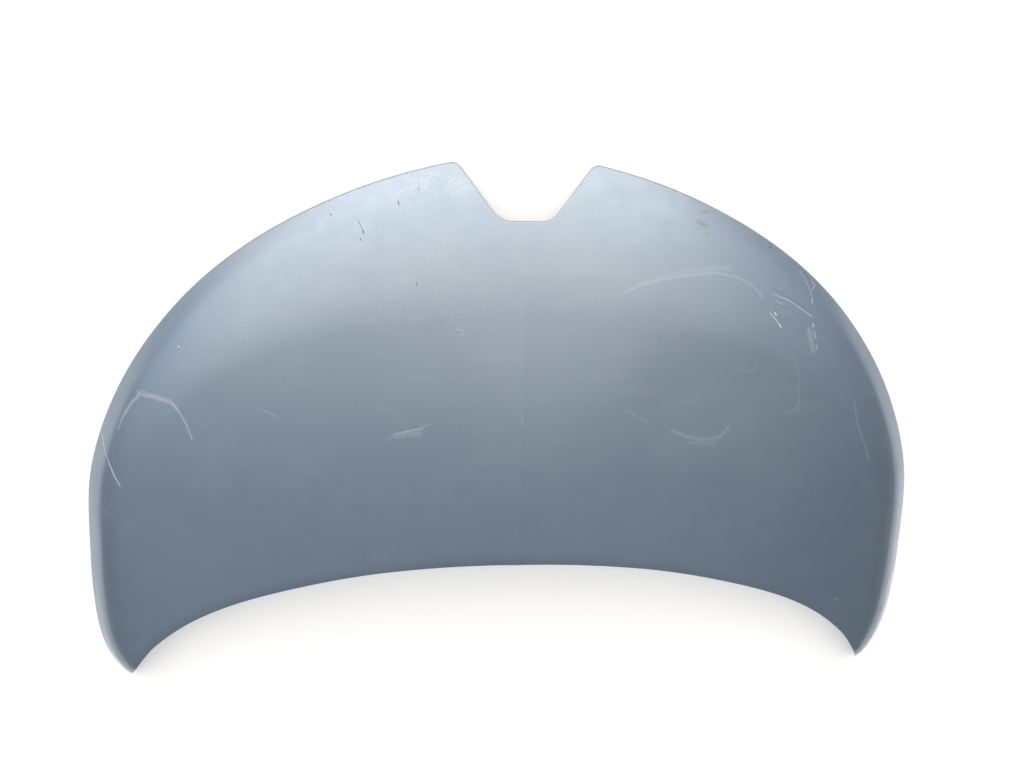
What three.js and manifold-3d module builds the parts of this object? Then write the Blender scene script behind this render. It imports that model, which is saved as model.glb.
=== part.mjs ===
// Car bonnet: an outer skin hemmed round a pressed inner frame, with hinge and latch
// reinforcements, striker, rubber buffers and prop-rod socket. Millimetres, +Z up.
// It lies crown up, nose towards +Y. Until the last lines, Y is counted from the line
// through the two rear corners and Z from the drawing's own zero.

import * as THREE from 'three';
import { mergeVertices } from 'three/addons/utils/BufferGeometryUtils.js';
import Module from 'manifold-3d';

const wasm = await Module();
wasm.setup();

// Outline in plan
const CORNER_HALF_WIDTH = 659;
const MIDDLE_Y = 300;
const REAR_SWEEP = 302;
// Outline radius from the point (0, MIDDLE_Y), by angle in degrees from +X
const OUTLINE = [
  [-21, 735], [-17, 731], [-10, 710], [-2, 691], [8, 681],
  [20, 662], [35, 639], [58, 610.5], [74, 603.5], [90, 607],
];
// Rear edge, as shares of the corner's half width and of the sweep
const REAR_EDGE = [[0, 1], [0.3, 0.945], [0.55, 0.797], [0.75, 0.593], [0.9, 0.32], [1, 0]];

// Notch in the nose
const NOTCH_MOUTH_HALF = 100;
const NOTCH_FLOOR_HALF = 37;
const NOTCH_FLOOR_Y = 820;
const PEAK_RADIUS = 16;
const PEAK_MARGIN = 1.6 * PEAK_RADIUS;
const NOTCH_RADIUS = 34;

// Crown and edges
const CROWN_HEIGHT = 134;
const CROWN_Y = 177;
const CROWN_LONG_RADIUS = 2480;
const CROWN_CROSS_RADIUS = 2290;
const SIDE_DROP = 21;
const SIDE_DROP_WIDTH = 74;
const NOSE_DROP = 29;
const NOSE_DROP_WIDTH = 220;
const CREASE_INSET = 24;
const CREASE_SLOPE = 0.4;
const CREASE_SOFTNESS = 7;
const REAR_DROP = 3;
const REAR_DROP_WIDTH = 18;

// Centre ridge, and the channel that runs down to the notch
const RIDGE_HEIGHT = 2;
const RIDGE_WIDTH = 120;
const RIDGE_SOFTNESS = 8;
const CHANNEL_DROP = 9;
const CHANNEL_HALF_WIDTH = 150;
const CHANNEL_START_Y = 430;
const CHANNEL_LENGTH = 450;

// Sheet metal and hem
const SKIN_WALL = 0.7;
const FRAME_WALL = 0.7;
const SEAT_GAP = 0.3;
const HEM_WIDTH = 12;

// Inner frame
const FRAME_DEPTH = 16;
const EDGE_RAMP = 31;
const EDGE_CHANNEL = 72;
const RAMP_SLOPE = 0.8;
const TIP_SHARE = 0.3;
const TIP_FLAT = 4;
const FLANGE_DEPTH = 5;
const RIB_HALF_WIDTH = 16;
const RIB_WALL_WIDTH = 13;
const FLANGE_WIDTH = 12;

// Flat pads pressed in the frame
const PAD_BLEND = 26;
const HINGE_PAD_INSET = 36;
const HINGE_PAD_X = CORNER_HALF_WIDTH - HINGE_PAD_INSET;
const HINGE_PAD_Y = 190;
const HINGE_PAD_RADIUS = 54;
const HINGE_PAD_TURN = 60;
const LATCH_PAD_Y = 742;
const LATCH_PAD_RADIUS = 62;

// Reinforcements and fasteners
const REINFORCEMENT_WALL = 2;
const HINGE_PLATE_LENGTH = 56;
const HINGE_PLATE_WIDTH = 30;
const HINGE_BOLT_SPACING = 34;
const HINGE_HOLE_RADIUS = 4.5;
const LATCH_PLATE_LENGTH = 76;
const LATCH_PLATE_WIDTH = 36;
const PLATE_CORNER_RADIUS = 6;
const STRIKER_BOLT_SPACING = 54;
const BOLT_RADIUS = 3;
const BOLT_CLEARANCE = 0.3;
const BOLT_HEAD_RADIUS = 6;
const BOLT_HEAD_HEIGHT = 4;
const BOLT_END = 1.5;
const NUT_RADIUS = 7.5;
const NUT_HEIGHT = 6;

// Striker loop
const STRIKER_ROD_RADIUS = 4;
const STRIKER_LOOP_WIDTH = 26;
const STRIKER_LOOP_HEIGHT = 30;
const STRIKER_BEND_RADIUS = 9;

// Mastic dabs, and the buffers and prop-rod socket that push into the frame
const MASTIC_RADIUS = 5;
const MASTIC_CLEARANCE = 0.8;
const PLUG_PAD_RADIUS = 56;
const BUFFER_X = 452;
const BUFFER_Y = 638;
const BUFFER_RADIUS = 10;
const BUFFER_HEIGHT = 9;
const SOCKET_X = -359;
const SOCKET_Y = 719;
const SOCKET_RADIUS = 12;
const SOCKET_HEIGHT = 4;
const SOCKET_BORE_RADIUS = 5;
const BUFFER_STEM_RADIUS = 4.5;
const SOCKET_STEM_RADIUS = 7;
const PLUG_LIP = 1.4;
const PLUG_TOP = 4;

// Mesh fineness
const SIDE_COLUMNS = 24;
const TIP_CROWDING = 1.3;
const NOSE_CROWDING = 1.35;
const PEAK_STEPS = 3;
const NOTCH_STEPS = 3;
const SKIN_ROWS = 14;
const BLOCK_ROWS = 4;

const clamp = (value, low, high) => Math.min(Math.max(value, low), high);
const mix = (a, b, t) => a + (b - a) * t;
const degrees = THREE.MathUtils.degToRad;

function smooth(value) {
  const t = clamp(value, 0, 1);
  return t * t * (3 - 2 * t);
}

// A smooth curve through [x, value] points that rise in x
function through(points, x) {
  let k = 0;
  while (k < points.length - 2 && x > points[k + 1][0]) {
    k += 1;
  }
  const slope = (j) => {
    const before = points[Math.max(j - 1, 0)];
    const after = points[Math.min(j + 1, points.length - 1)];
    return (after[1] - before[1]) / (after[0] - before[0]);
  };
  const [x0, y0] = points[k];
  const [x1, y1] = points[k + 1];
  const span = x1 - x0;
  const t = clamp((x - x0) / span, 0, 1);
  const bend = t * t * (3 - 2 * t);
  const start = t * (1 - t) * (1 - t) * span * slope(k);
  const end = t * t * (t - 1) * span * slope(k + 1);
  return mix(y0, y1, bend) + start + end;
}

const CORNER_ANGLE = THREE.MathUtils.radToDeg(Math.atan2(-MIDDLE_Y, CORNER_HALF_WIDTH));
const MIRRORED = OUTLINE.at(-2);
const RADIUS_BY_ANGLE = [
  [CORNER_ANGLE, Math.hypot(MIDDLE_Y, CORNER_HALF_WIDTH)],
  ...OUTLINE,
  [180 - MIRRORED[0], MIRRORED[1]],
];
const REAR_BY_X = [
  [-REAR_EDGE[1][0] * CORNER_HALF_WIDTH, REAR_EDGE[1][1] * REAR_SWEEP],
  ...REAR_EDGE.map(([x, y]) => [x * CORNER_HALF_WIDTH, y * REAR_SWEEP]),
];

const outlineRadius = (angle) => through(RADIUS_BY_ANGLE, angle);
const rearY = (x) => through(REAR_BY_X, Math.min(Math.abs(x), CORNER_HALF_WIDTH));

function outlinePoint(angle) {
  const radius = outlineRadius(angle);
  return [radius * Math.cos(degrees(angle)), MIDDLE_Y + radius * Math.sin(degrees(angle))];
}

// Height of the skin's outer face over the plan
function crown(x, y) {
  const angle = Math.atan2(y - MIDDLE_Y, Math.abs(x));
  const toEdge = Math.max(outlineRadius(THREE.MathUtils.radToDeg(angle)) - Math.hypot(x, y - MIDDLE_Y), 0);
  const noseShare = Math.max(Math.sin(angle), 0) ** 2;
  const drop = mix(SIDE_DROP, NOSE_DROP, noseShare);
  const dropWidth = mix(SIDE_DROP_WIDTH, NOSE_DROP_WIDTH, noseShare);
  const edge = clamp(1 - toEdge / dropWidth, 0, 1);
  const past = CREASE_INSET - toEdge;
  const crease = (past + Math.hypot(past, CREASE_SOFTNESS)) / 2;
  const step = 4;
  const rearSlope = (rearY(Math.abs(x) + step) - rearY(Math.abs(x) - step)) / (2 * step);
  const toRear = Math.max(y - rearY(x), 0) / Math.hypot(1, rearSlope);
  const rear = clamp(1 - toRear / REAR_DROP_WIDTH, 0, 1);
  const ridge = 1 - Math.exp(-(Math.hypot(x, RIDGE_SOFTNESS) - RIDGE_SOFTNESS) / RIDGE_WIDTH);
  const channel = Math.exp(-((x / CHANNEL_HALF_WIDTH) ** 2)) * smooth((y - CHANNEL_START_Y) / CHANNEL_LENGTH);
  return CROWN_HEIGHT
    - (y - CROWN_Y) ** 2 / (2 * CROWN_LONG_RADIUS)
    - x ** 2 / (2 * CROWN_CROSS_RADIUS)
    - drop * edge ** 2
    - CREASE_SLOPE * (1 - noseShare) * crease
    - REAR_DROP * rear ** 2
    - RIDGE_HEIGHT * ridge
    - CHANNEL_DROP * channel;
}

// Arc points that round the corner b between a and c
function roundCorner(a, b, c, radius, steps) {
  const u = new THREE.Vector2(a[0] - b[0], a[1] - b[1]).normalize();
  const v = new THREE.Vector2(c[0] - b[0], c[1] - b[1]).normalize();
  const half = Math.acos(clamp(u.dot(v), -1, 1)) / 2;
  const centre = u.clone().add(v).normalize().multiplyScalar(radius / Math.sin(half));
  const start = u.multiplyScalar(radius / Math.tan(half)).sub(centre);
  const turn = Math.sign(start.x * v.y - start.y * v.x) * (Math.PI - 2 * half);
  const points = [];
  for (let k = 0; k <= steps; k += 1) {
    const arm = start.clone().rotateAround(new THREE.Vector2(), (turn * k) / steps);
    points.push([b[0] + centre.x + arm.x, b[1] + centre.y + arm.y]);
  }
  return points;
}

// Front border from the right rear corner to the middle of the notch
function frontBorder() {
  let peakAngle = 80;
  for (let k = 0; k < 30; k += 1) {
    const past = outlinePoint(peakAngle)[0] - NOTCH_MOUTH_HALF;
    peakAngle += THREE.MathUtils.radToDeg(past / outlineRadius(peakAngle));
  }
  const peak = outlinePoint(peakAngle);
  const floor = [NOTCH_FLOOR_HALF, NOTCH_FLOOR_Y];
  const points = [];
  const lastAngle = peakAngle - THREE.MathUtils.radToDeg(PEAK_MARGIN / outlineRadius(peakAngle));
  for (let k = 0; k < SIDE_COLUMNS; k += 1) {
    points.push(outlinePoint(mix(CORNER_ANGLE, lastAngle, (k / (SIDE_COLUMNS - 1)) ** TIP_CROWDING)));
  }
  points.push(...roundCorner(points.at(-1), peak, floor, PEAK_RADIUS, PEAK_STEPS));
  points.push(...roundCorner(peak, floor, [0, NOTCH_FLOOR_Y], NOTCH_RADIUS, NOTCH_STEPS));
  points.push([0, NOTCH_FLOOR_Y]);
  return points;
}

// Both borders share their columns: column 0 is the right rear corner, the last the left one
const rightFront = frontBorder();
const mirrorPoint = ([x, y]) => [-x, y];
const FRONT = [...rightFront, ...rightFront.slice(0, -1).reverse().map(mirrorPoint)];
const COLUMNS = FRONT.length - 1;
const REAR = FRONT.map(([x, y]) => {
  const angle = THREE.MathUtils.radToDeg(Math.atan2(y - MIDDLE_Y, Math.abs(x)));
  const rearX = Math.sign(x) * CORNER_HALF_WIDTH * (1 - (angle - CORNER_ANGLE) / (90 - CORNER_ANGLE));
  return [rearX, rearY(rearX)];
});
const BORDER = [...FRONT, ...REAR.slice(1, -1).reverse()];
const rearIndex = (column) => (column === 0 ? 0 : 2 * COLUMNS - column);
const MIDDLE_COLUMN = COLUMNS / 2;

// The closed loop moved inwards by a distance, square to its sides
function inset(loop, distance) {
  return loop.map((point, k) => {
    const before = loop.at(k - 1);
    const after = loop[(k + 1) % loop.length];
    const a = new THREE.Vector2(before[1] - point[1], point[0] - before[0]).normalize();
    const b = new THREE.Vector2(point[1] - after[1], after[0] - point[0]).normalize();
    const normal = a.clone().add(b).normalize();
    const length = distance / Math.max(normal.dot(a), 0.5);
    return [point[0] + normal.x * length, point[1] + normal.y * length];
  });
}

// The closed loop moved inwards in small steps, with its corners rounded on the way
function softInset(loop, distance) {
  const steps = 4;
  let points = loop;
  for (let k = 0; k < steps; k += 1) {
    const moved = inset(points, distance / steps);
    points = moved.map((point, j) => {
      const before = moved.at(j - 1);
      const after = moved[(j + 1) % moved.length];
      return [0, 1].map((axis) => point[axis] / 2 + (before[axis] + after[axis]) / 4);
    });
  }
  return points;
}

function closedGeometry(positions, triangles) {
  const geometry = new THREE.BufferGeometry();
  geometry.setAttribute('position', new THREE.Float32BufferAttribute(positions.flat(), 3));
  geometry.setIndex(triangles.flat());
  return geometry;
}

// Both triangles of a quad; the left half's diagonals mirror those of the right half
const splitQuad = ([a, b, c, d], leftHalf) => (leftHalf ? [[a, b, c], [a, c, d]] : [[a, b, d], [b, c, d]]);

// Outer skin: two parallel sheets over one grid, joined round the border by the hem's section
function skinGeometry() {
  const pack = 2 * SKIN_WALL + FRAME_WALL + 2 * SEAT_GAP;
  const roll = pack / 2;
  const inner = roll - SKIN_WALL;
  const gridEdge = inset(BORDER, roll);
  const hemEdge = inset(BORDER, HEM_WIDTH);
  const positions = [];
  const faces = [];
  const add = ([x, y], depth) => positions.push([x, y, crown(x, y) - depth]) - 1;
  const grid = (depth) => {
    const ids = [];
    for (let i = 0; i <= COLUMNS; i += 1) {
      const tip = i === 0 || i === COLUMNS;
      const first = add(gridEdge[i], depth);
      const rows = [first];
      const front = hemEdge[i];
      const rear = hemEdge[rearIndex(i)];
      const hemTip = tip ? add(front, depth) : null;
      for (let j = 0; j <= SKIN_ROWS; j += 1) {
        const t = (j / SKIN_ROWS) ** NOSE_CROWDING;
        rows.push(tip ? hemTip : add([mix(front[0], rear[0], t), mix(front[1], rear[1], t)], depth));
      }
      rows.push(tip ? first : add(gridEdge[rearIndex(i)], depth));
      ids.push(rows);
    }
    return ids;
  };
  const top = grid(0);
  const bottom = grid(SKIN_WALL);
  for (let i = 0; i < COLUMNS; i += 1) {
    const leftHalf = i >= MIDDLE_COLUMN;
    for (let j = 0; j < top[0].length - 1; j += 1) {
      const quad = (ids) => [ids[i][j], ids[i + 1][j], ids[i + 1][j + 1], ids[i][j + 1]];
      faces.push(...splitQuad(quad(top), leftHalf));
      faces.push(...splitQuad(quad(bottom), leftHalf).map((face) => face.reverse()));
    }
  }
  // Hem section as [inset, depth], from the outer face round the fold to the return and back
  const section = [
    [0, roll],
    [roll, pack],
    [HEM_WIDTH, pack],
    [HEM_WIDTH, pack - SKIN_WALL],
    [roll, pack - SKIN_WALL],
    [roll - inner, roll],
  ];
  const borderIds = (ids) => [
    ...ids.map((rows) => rows[0]),
    ...ids.slice(1, -1).reverse().map((rows) => rows.at(-1)),
  ];
  const rings = [
    borderIds(top),
    ...section.map(([distance, depth]) => inset(BORDER, distance).map((point) => add(point, depth))),
    borderIds(bottom),
  ];
  for (let r = 0; r < rings.length - 1; r += 1) {
    for (let k = 0; k < BORDER.length; k += 1) {
      const next = (k + 1) % BORDER.length;
      const leftHalf = k >= MIDDLE_COLUMN && k < BORDER.length - MIDDLE_COLUMN;
      faces.push(...splitQuad([rings[r][next], rings[r][k], rings[r + 1][k], rings[r + 1][next]], leftHalf));
    }
  }
  return closedGeometry(positions, faces.filter(([a, b, c]) => a !== b && b !== c && c !== a));
}

// A flat pad in the frame, square to the crown at its middle, its long side turned in plan
function makePad(x, y, radius, turn = 0) {
  const step = 5;
  const slopeX = (crown(x + step, y) - crown(x - step, y)) / (2 * step);
  const slopeY = (crown(x, y + step) - crown(x, y - step)) / (2 * step);
  const z = crown(x, y) - FRAME_DEPTH;
  const normal = new THREE.Vector3(-slopeX, -slopeY, 1).normalize();
  const across = new THREE.Vector3(1, 0, slopeX).normalize();
  const along = normal.clone().cross(across);
  const matrix = new THREE.Matrix4().makeBasis(across, along, normal).setPosition(x, y, z);
  matrix.multiply(new THREE.Matrix4().makeRotationZ(degrees(turn)));
  const height = (px, py) => z + slopeX * (px - x) + slopeY * (py - y);
  return { x, y, radius, height, matrix };
}

const LATCH_PAD = makePad(0, LATCH_PAD_Y, LATCH_PAD_RADIUS);
const HINGE_PADS = [-1, 1].map((side) => (
  makePad(side * HINGE_PAD_X, HINGE_PAD_Y, HINGE_PAD_RADIUS, -side * HINGE_PAD_TURN)));
const BUFFER_PADS = [-1, 1].map((side) => makePad(side * BUFFER_X, BUFFER_Y, PLUG_PAD_RADIUS));
const SOCKET_PAD = makePad(SOCKET_X, SOCKET_Y, PLUG_PAD_RADIUS);
const PADS = [LATCH_PAD, ...HINGE_PADS, ...BUFFER_PADS, SOCKET_PAD];

// Only the floor of the channels and ribs is pressed into pads
function frameHeight(x, y, depth) {
  let z = crown(x, y) - depth;
  if (depth > FLANGE_DEPTH) {
    for (const pad of PADS) {
      const away = Math.hypot(x - pad.x, y - pad.y) - pad.radius;
      z = mix(pad.height(x, y), z, smooth(away / PAD_BLEND));
    }
  }
  return z;
}

// Window blocks of the frame's core, as column and row ranges; both halves mirror each other
const NOTCH_COLUMN = SIDE_COLUMNS;
const HALF_BLOCKS = [
  { columns: [19, NOTCH_COLUMN], rows: [0, 1] },
  { columns: [19, NOTCH_COLUMN], rows: [1, 2] },
  { columns: [14, 19], rows: [0, 1] },
  { columns: [14, 19], rows: [1, 2] },
  { columns: [10, 14], rows: [0, 2] },
];
const WINDOWS = [
  ...HALF_BLOCKS,
  ...HALF_BLOCKS.map(({ columns, rows }) => ({ columns: columns.map((c) => COLUMNS - c).reverse(), rows })),
  { columns: [NOTCH_COLUMN, COLUMNS - NOTCH_COLUMN], rows: [1, 2] },
];

// Plan of the inner frame: points with a depth below the crown, faces, and the mastic's places
function framePlan() {
  const hemInside = SKIN_WALL + FRAME_WALL / 2 + SEAT_GAP;
  const seatDepth = SKIN_WALL + SEAT_GAP;
  const outer = inset(BORDER, hemInside);
  const hemEdge = inset(BORDER, HEM_WIDTH);
  const points = [];
  const faces = [];
  const dabs = [];
  const add = ([x, y], depth) => points.push([x, y, depth]) - 1;
  const coreRows = 2 * BLOCK_ROWS;
  const ids = [];
  for (let i = 0; i <= COLUMNS; i += 1) {
    const edge = add(outer[i], seatDepth);
    const seat = add(hemEdge[i], seatDepth);
    if (i === 0 || i === COLUMNS) {
      ids.push([edge, ...new Array(coreRows + 5).fill(seat), edge]);
      continue;
    }
    const front = hemEdge[i];
    const rear = hemEdge[rearIndex(i)];
    const length = Math.hypot(rear[0] - front[0], rear[1] - front[1]);
    const ramp = Math.min(EDGE_RAMP, (TIP_SHARE / 2) * length);
    const channel = Math.min(EDGE_CHANNEL, TIP_SHARE * length);
    const depth = Math.min(FRAME_DEPTH, seatDepth + RAMP_SLOPE * Math.max(ramp - TIP_FLAT, 0));
    const at = (distance) => [0, 1].map((axis) => mix(front[axis], rear[axis], distance / length));
    const rows = [edge, seat, add(at(ramp), depth)];
    for (let j = 0; j <= coreRows; j += 1) {
      rows.push(add(at(mix(channel, length - channel, j / coreRows)), depth));
    }
    rows.push(add(at(length - ramp), depth));
    rows.push(add(rear, seatDepth));
    rows.push(add(outer[rearIndex(i)], seatDepth));
    ids.push(rows);
  }
  const firstCore = 3;
  const inWindow = (i, j) => WINDOWS.some(({ columns, rows }) => (
    i >= columns[0] && i < columns[1]
    && j >= firstCore + rows[0] * BLOCK_ROWS && j < firstCore + rows[1] * BLOCK_ROWS));
  for (let i = 0; i < COLUMNS; i += 1) {
    for (let j = 0; j < ids[i].length - 1; j += 1) {
      if (!inWindow(i, j)) {
        const quad = [ids[i][j], ids[i + 1][j], ids[i + 1][j + 1], ids[i][j + 1]];
        faces.push(...splitQuad(quad, i >= MIDDLE_COLUMN));
      }
    }
  }
  for (const { columns, rows } of WINDOWS) {
    const [i0, i1] = columns;
    const [j0, j1] = rows.map((row) => firstCore + row * BLOCK_ROWS);
    const across = ids.slice(i0, i1 + 1);
    const loop = [
      ...across.slice(0, -1).map((column) => column[j0]),
      ...ids[i1].slice(j0, j1),
      ...across.slice(1).reverse().map((column) => column[j1]),
      ...ids[i0].slice(j0 + 1, j1 + 1).reverse(),
    ];
    const plan = loop.map((id) => points[id].slice(0, 2));
    const foot = softInset(plan, RIB_HALF_WIDTH);
    const shoulder = softInset(foot, RIB_WALL_WIDTH);
    const rim = softInset(shoulder, FLANGE_WIDTH);
    const rings = [
      loop,
      foot.map((point) => add(point, FRAME_DEPTH)),
      shoulder.map((point) => add(point, FLANGE_DEPTH)),
      rim.map((point) => add(point, FLANGE_DEPTH)),
    ];
    for (let r = 0; r < rings.length - 1; r += 1) {
      for (let k = 0; k < loop.length; k += 1) {
        const next = (k + 1) % loop.length;
        const quad = [rings[r][k], rings[r][next], rings[r + 1][next], rings[r + 1][k]];
        faces.push(...splitQuad(quad, i0 >= MIDDLE_COLUMN));
      }
    }
    const frontMiddle = Math.floor((i1 - i0) / 2);
    for (const k of [frontMiddle, frontMiddle + (loop.length / 2)]) {
      const at = Math.floor(k);
      dabs.push([0, 1].map((axis) => (shoulder[at][axis] + rim[at][axis]) / 2));
    }
  }
  return { points, faces: faces.filter(([a, b, c]) => a !== b && b !== c && c !== a), dabs };
}

// The frame's sheet: the plan's faces above and below, and a wall along each open edge
function frameGeometry({ points, faces }) {
  const top = points.map(([x, y, depth]) => [x, y, frameHeight(x, y, depth)]);
  const bottom = top.map(([x, y, z]) => [x, y, z - FRAME_WALL]);
  const count = points.length;
  const triangles = [];
  const open = new Map();
  for (const face of faces) {
    triangles.push(face);
    triangles.push(face.map((id) => id + count).reverse());
    face.forEach((a, k) => {
      const b = face[(k + 1) % 3];
      if (!open.delete(`${b} ${a}`)) {
        open.set(`${a} ${b}`, [a, b]);
      }
    });
  }
  for (const [a, b] of open.values()) {
    triangles.push(...splitQuad([b, a, a + count, b + count]));
  }
  return closedGeometry([...top, ...bottom], triangles);
}

function toSolid(geometry) {
  const bare = geometry.clone();
  bare.deleteAttribute('normal');
  bare.deleteAttribute('uv');
  const merged = mergeVertices(bare, 1e-4);
  return new wasm.Manifold(new wasm.Mesh({
    numProp: 3,
    vertProperties: merged.attributes.position.array,
    triVerts: Uint32Array.from(merged.index.array),
  }));
}

function fromSolid(solid) {
  const { vertProperties, triVerts, numProp } = solid.getMesh();
  const positions = [];
  for (let k = 0; k < vertProperties.length; k += numProp) {
    positions.push([...vertProperties.slice(k, k + 3)]);
  }
  return closedGeometry(positions, [[...triVerts]]);
}

function cut(geometry, cutters) {
  let solid = toSolid(geometry);
  for (const cutter of cutters) {
    solid = solid.subtract(toSolid(cutter));
  }
  return fromSolid(solid);
}

// An upright round bar between two heights
function bar(radius, low, high, sides = 16) {
  const geometry = new THREE.CylinderGeometry(radius, radius, high - low, sides);
  return geometry.rotateX(Math.PI / 2).translate(0, 0, (low + high) / 2);
}

// A rounded plate with round holes, its lower face at the given height
function plate(length, width, wall, low, holes, holeRadius) {
  const r = PLATE_CORNER_RADIUS;
  const shape = new THREE.Shape();
  shape.moveTo(length / 2 - r, -width / 2);
  shape.absarc(length / 2 - r, -width / 2 + r, r, -Math.PI / 2, 0);
  shape.absarc(length / 2 - r, width / 2 - r, r, 0, Math.PI / 2);
  shape.absarc(-length / 2 + r, width / 2 - r, r, Math.PI / 2, Math.PI);
  shape.absarc(-length / 2 + r, -width / 2 + r, r, Math.PI, 1.5 * Math.PI);
  for (const x of holes) {
    shape.holes.push(new THREE.Path().absarc(x, 0, holeRadius, 0, 2 * Math.PI, true));
  }
  return new THREE.ExtrudeGeometry(shape, { depth: wall, bevelEnabled: false, curveSegments: 4 })
    .translate(0, 0, low);
}

function hexagon(radius) {
  const corners = [0, 1, 2, 3, 4, 5].map((k) => (
    new THREE.Vector2(radius, 0).rotateAround(new THREE.Vector2(), (k * Math.PI) / 3)));
  return new THREE.Shape(corners);
}

// A hexagonal nut with a bore
function nut(boreRadius, low) {
  const shape = hexagon(NUT_RADIUS);
  shape.holes.push(new THREE.Path().absarc(0, 0, boreRadius, 0, 2 * Math.PI, true));
  return new THREE.ExtrudeGeometry(shape, { depth: NUT_HEIGHT, bevelEnabled: false, curveSegments: 4 })
    .translate(0, 0, low);
}

// Heights from the frame's upper face, square to a pad
const FRAME_UNDERSIDE = -(FRAME_WALL + SEAT_GAP);
const REINFORCEMENT_LOW = SEAT_GAP;
const NUT_LOW = REINFORCEMENT_LOW + REINFORCEMENT_WALL + SEAT_GAP;
const STRIKER_PLATE_LOW = FRAME_UNDERSIDE - REINFORCEMENT_WALL;
const BOLT_SEAT = STRIKER_PLATE_LOW - SEAT_GAP;

const BOLT_HOLE_RADIUS = BOLT_RADIUS + BOLT_CLEARANCE;
const HINGE_HOLES = [-HINGE_BOLT_SPACING / 2, HINGE_BOLT_SPACING / 2];
const STRIKER_HOLES = [-STRIKER_BOLT_SPACING / 2, STRIKER_BOLT_SPACING / 2];

// A hexagon-head bolt that stands head down
function bolt() {
  const options = { depth: BOLT_HEAD_HEIGHT, bevelEnabled: false };
  const head = new THREE.ExtrudeGeometry(hexagon(BOLT_HEAD_RADIUS), options)
    .translate(0, 0, BOLT_SEAT - BOLT_HEAD_HEIGHT);
  const end = NUT_LOW + NUT_HEIGHT + BOLT_END;
  const shank = bar(BOLT_RADIUS, BOLT_SEAT - BOLT_HEAD_HEIGHT / 2, end, 12);
  return fromSolid(toSolid(head).add(toSolid(shank)));
}

// The bent rod that the latch grips
function strikerLoop() {
  const half = STRIKER_LOOP_WIDTH / 2;
  const bend = STRIKER_BEND_RADIUS;
  const top = BOLT_SEAT;
  const floor = top - STRIKER_LOOP_HEIGHT;
  const at = (x, z) => new THREE.Vector3(x, 0, z);
  const path = new THREE.CurvePath();
  path.add(new THREE.LineCurve3(at(-half, top), at(-half, floor + bend)));
  const lowLeft = at(-half, floor);
  path.add(new THREE.QuadraticBezierCurve3(at(-half, floor + bend), lowLeft, at(bend - half, floor)));
  path.add(new THREE.LineCurve3(at(bend - half, floor), at(half - bend, floor)));
  path.add(new THREE.QuadraticBezierCurve3(at(half - bend, floor), at(half, floor), at(half, floor + bend)));
  path.add(new THREE.LineCurve3(at(half, floor + bend), at(half, top)));
  const section = new THREE.Shape().absarc(0, 0, STRIKER_ROD_RADIUS, 0, 2 * Math.PI);
  return new THREE.ExtrudeGeometry(section, { steps: 22, curveSegments: 6, extrudePath: path });
}

// A turned piece from [radius, height] points, starting and ending on its axis
function turned(profile, sides) {
  const points = profile.map(([radius, z]) => new THREE.Vector2(radius, z));
  return new THREE.LatheGeometry(points, sides).rotateX(Math.PI / 2);
}

// The neck and lip that hold a pushed-in piece in the frame
const plugNeck = (stemRadius) => [
  [stemRadius, FRAME_UNDERSIDE],
  [stemRadius, SEAT_GAP],
  [stemRadius + PLUG_LIP, SEAT_GAP],
  [stemRadius, PLUG_TOP],
];

function buffer() {
  const foot = FRAME_UNDERSIDE - BUFFER_HEIGHT;
  const chamfer = BUFFER_RADIUS / 5;
  return turned([
    [0, foot],
    [BUFFER_RADIUS - chamfer, foot],
    [BUFFER_RADIUS, foot + chamfer],
    [BUFFER_RADIUS, FRAME_UNDERSIDE],
    ...plugNeck(BUFFER_STEM_RADIUS),
    [0, PLUG_TOP],
  ], 14);
}

function propSocket() {
  const foot = FRAME_UNDERSIDE - SOCKET_HEIGHT;
  return turned([
    [SOCKET_BORE_RADIUS, foot],
    [SOCKET_RADIUS, foot],
    [SOCKET_RADIUS, FRAME_UNDERSIDE],
    ...plugNeck(SOCKET_STEM_RADIUS),
    [SOCKET_BORE_RADIUS, PLUG_TOP],
    [SOCKET_BORE_RADIUS, foot],
  ], 14);
}

// A flat dab of mastic between the skin and a window's flange
function masticDab([x, y]) {
  const high = crown(x, y) - SKIN_WALL - MASTIC_CLEARANCE;
  const low = crown(x, y) - FLANGE_DEPTH + MASTIC_CLEARANCE;
  const geometry = bar(MASTIC_RADIUS, low, high, 10).translate(x, y, 0);
  const { position } = geometry.attributes;
  for (let k = 0; k < position.count; k += 1) {
    const lean = crown(position.getX(k), position.getY(k)) - crown(x, y);
    position.setZ(k, position.getZ(k) + lean);
  }
  return geometry;
}

// Materials
function finish(color, roughness, metalness) {
  return new THREE.MeshStandardMaterial({ color, roughness, metalness });
}

const PAINT = finish(0x9aa7b4, 0.3, 0.5);
const FRAME_PAINT = finish(0x7d8894, 0.5, 0.3);
const PLATE_STEEL = finish(0x8a8d90, 0.5, 0.8);
const ZINC = finish(0xb9bbb6, 0.35, 0.9);
const RUBBER = finish(0x1b1b1c, 0.85, 0);
const PLASTIC = finish(0x2a2b2d, 0.5, 0);
const MASTIC = finish(0x6d6a62, 0.8, 0);

const bonnet = new THREE.Group();

function place(name, geometry, material, pad) {
  const mesh = new THREE.Mesh(geometry, material);
  mesh.name = name;
  if (pad) {
    mesh.applyMatrix4(pad.matrix);
  }
  bonnet.add(mesh);
}

function holesAt(pad, places, radius) {
  const reach = FRAME_DEPTH / 2;
  return places.map((x) => bar(radius, -reach, reach).translate(x, 0, 0).applyMatrix4(pad.matrix));
}

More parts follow.
